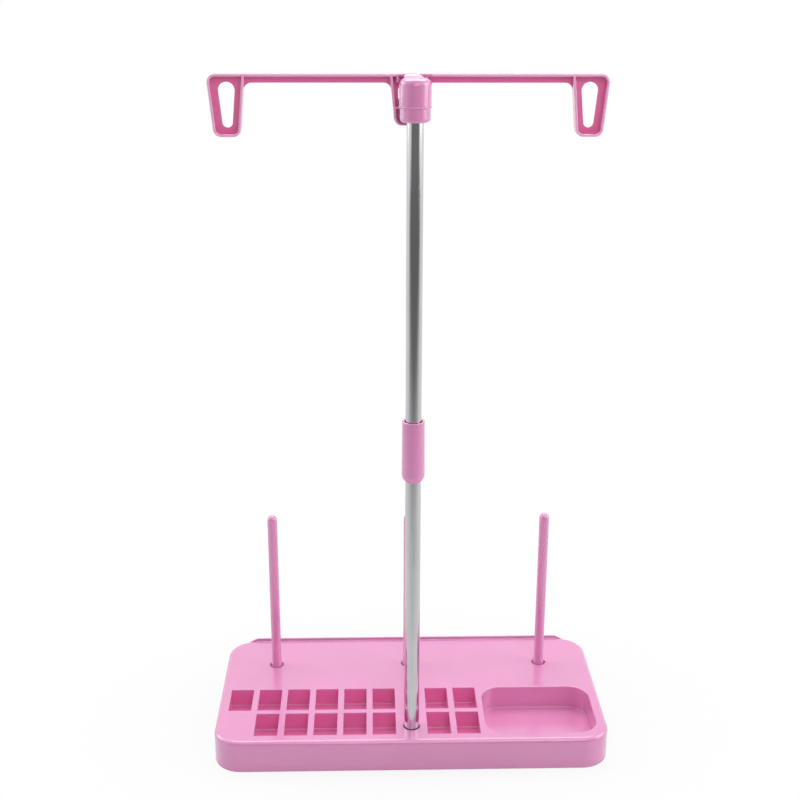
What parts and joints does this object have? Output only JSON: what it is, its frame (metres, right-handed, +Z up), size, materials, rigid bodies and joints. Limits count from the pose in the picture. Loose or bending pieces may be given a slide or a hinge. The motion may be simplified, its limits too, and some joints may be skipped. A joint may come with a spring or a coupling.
{
  "type": "thread rack",
  "caption": "Free-standing sewing thread rack: hollow base with bobbin wells, tray and spool pins, jointed steel mast, and a swivelling guide bar with thread eyelets.",
  "frame": {"origin": "on the table surface, under the middle of the base", "axes": "+Z up along the mast, +X to the right seen from the front, -Y towards the user"},
  "size_m": [0.254, 0.129, 0.4303],
  "materials": {
    "pink_plastic": "glossy moulded pink plastic",
    "steel_tube": "polished stainless steel with fine lengthwise drawing lines",
    "pad_foam": "matt translucent grey anti-slip pad"
  },
  "bodies": {
    "rack_base": {"base": "pink_plastic", "foot_pads": "pad_foam"},
    "lower_mast": {"lower_tube": "steel_tube", "coupling_sleeve": "pink_plastic"},
    "upper_mast": {"upper_tube": "steel_tube"},
    "thread_bar": {"guide_bar": "pink_plastic"},
    "pin_left": {"spool_pin_left": "pink_plastic"},
    "pin_middle": {"spool_pin_middle": "pink_plastic"},
    "pin_right": {"spool_pin_right": "pink_plastic"}
  },
  "joints": [
    {"name": "lower_mast_lift", "type": "slide", "parent": "rack_base", "child": "lower_mast", "axis": [0, 0, 1], "range_m": [0, 0.022]},
    {"name": "upper_mast_lift", "type": "slide", "parent": "lower_mast", "child": "upper_mast", "axis": [0, 0, 1], "range_m": [0, 0.02]},
    {"name": "bar_swivel", "type": "hinge", "parent": "upper_mast", "child": "thread_bar", "pos_m": [0, -0.0468, 0.4053], "axis": [0, 0, 1], "continuous": true},
    {"name": "pin_left_lift", "type": "slide", "parent": "rack_base", "child": "pin_left", "axis": [0, 0, 1], "range_m": [0, 0.015]},
    {"name": "pin_middle_lift", "type": "slide", "parent": "rack_base", "child": "pin_middle", "axis": [0, 0, 1], "range_m": [0, 0.015]},
    {"name": "pin_right_lift", "type": "slide", "parent": "rack_base", "child": "pin_right", "axis": [0, 0, 1], "range_m": [0, 0.015]}
  ]
}
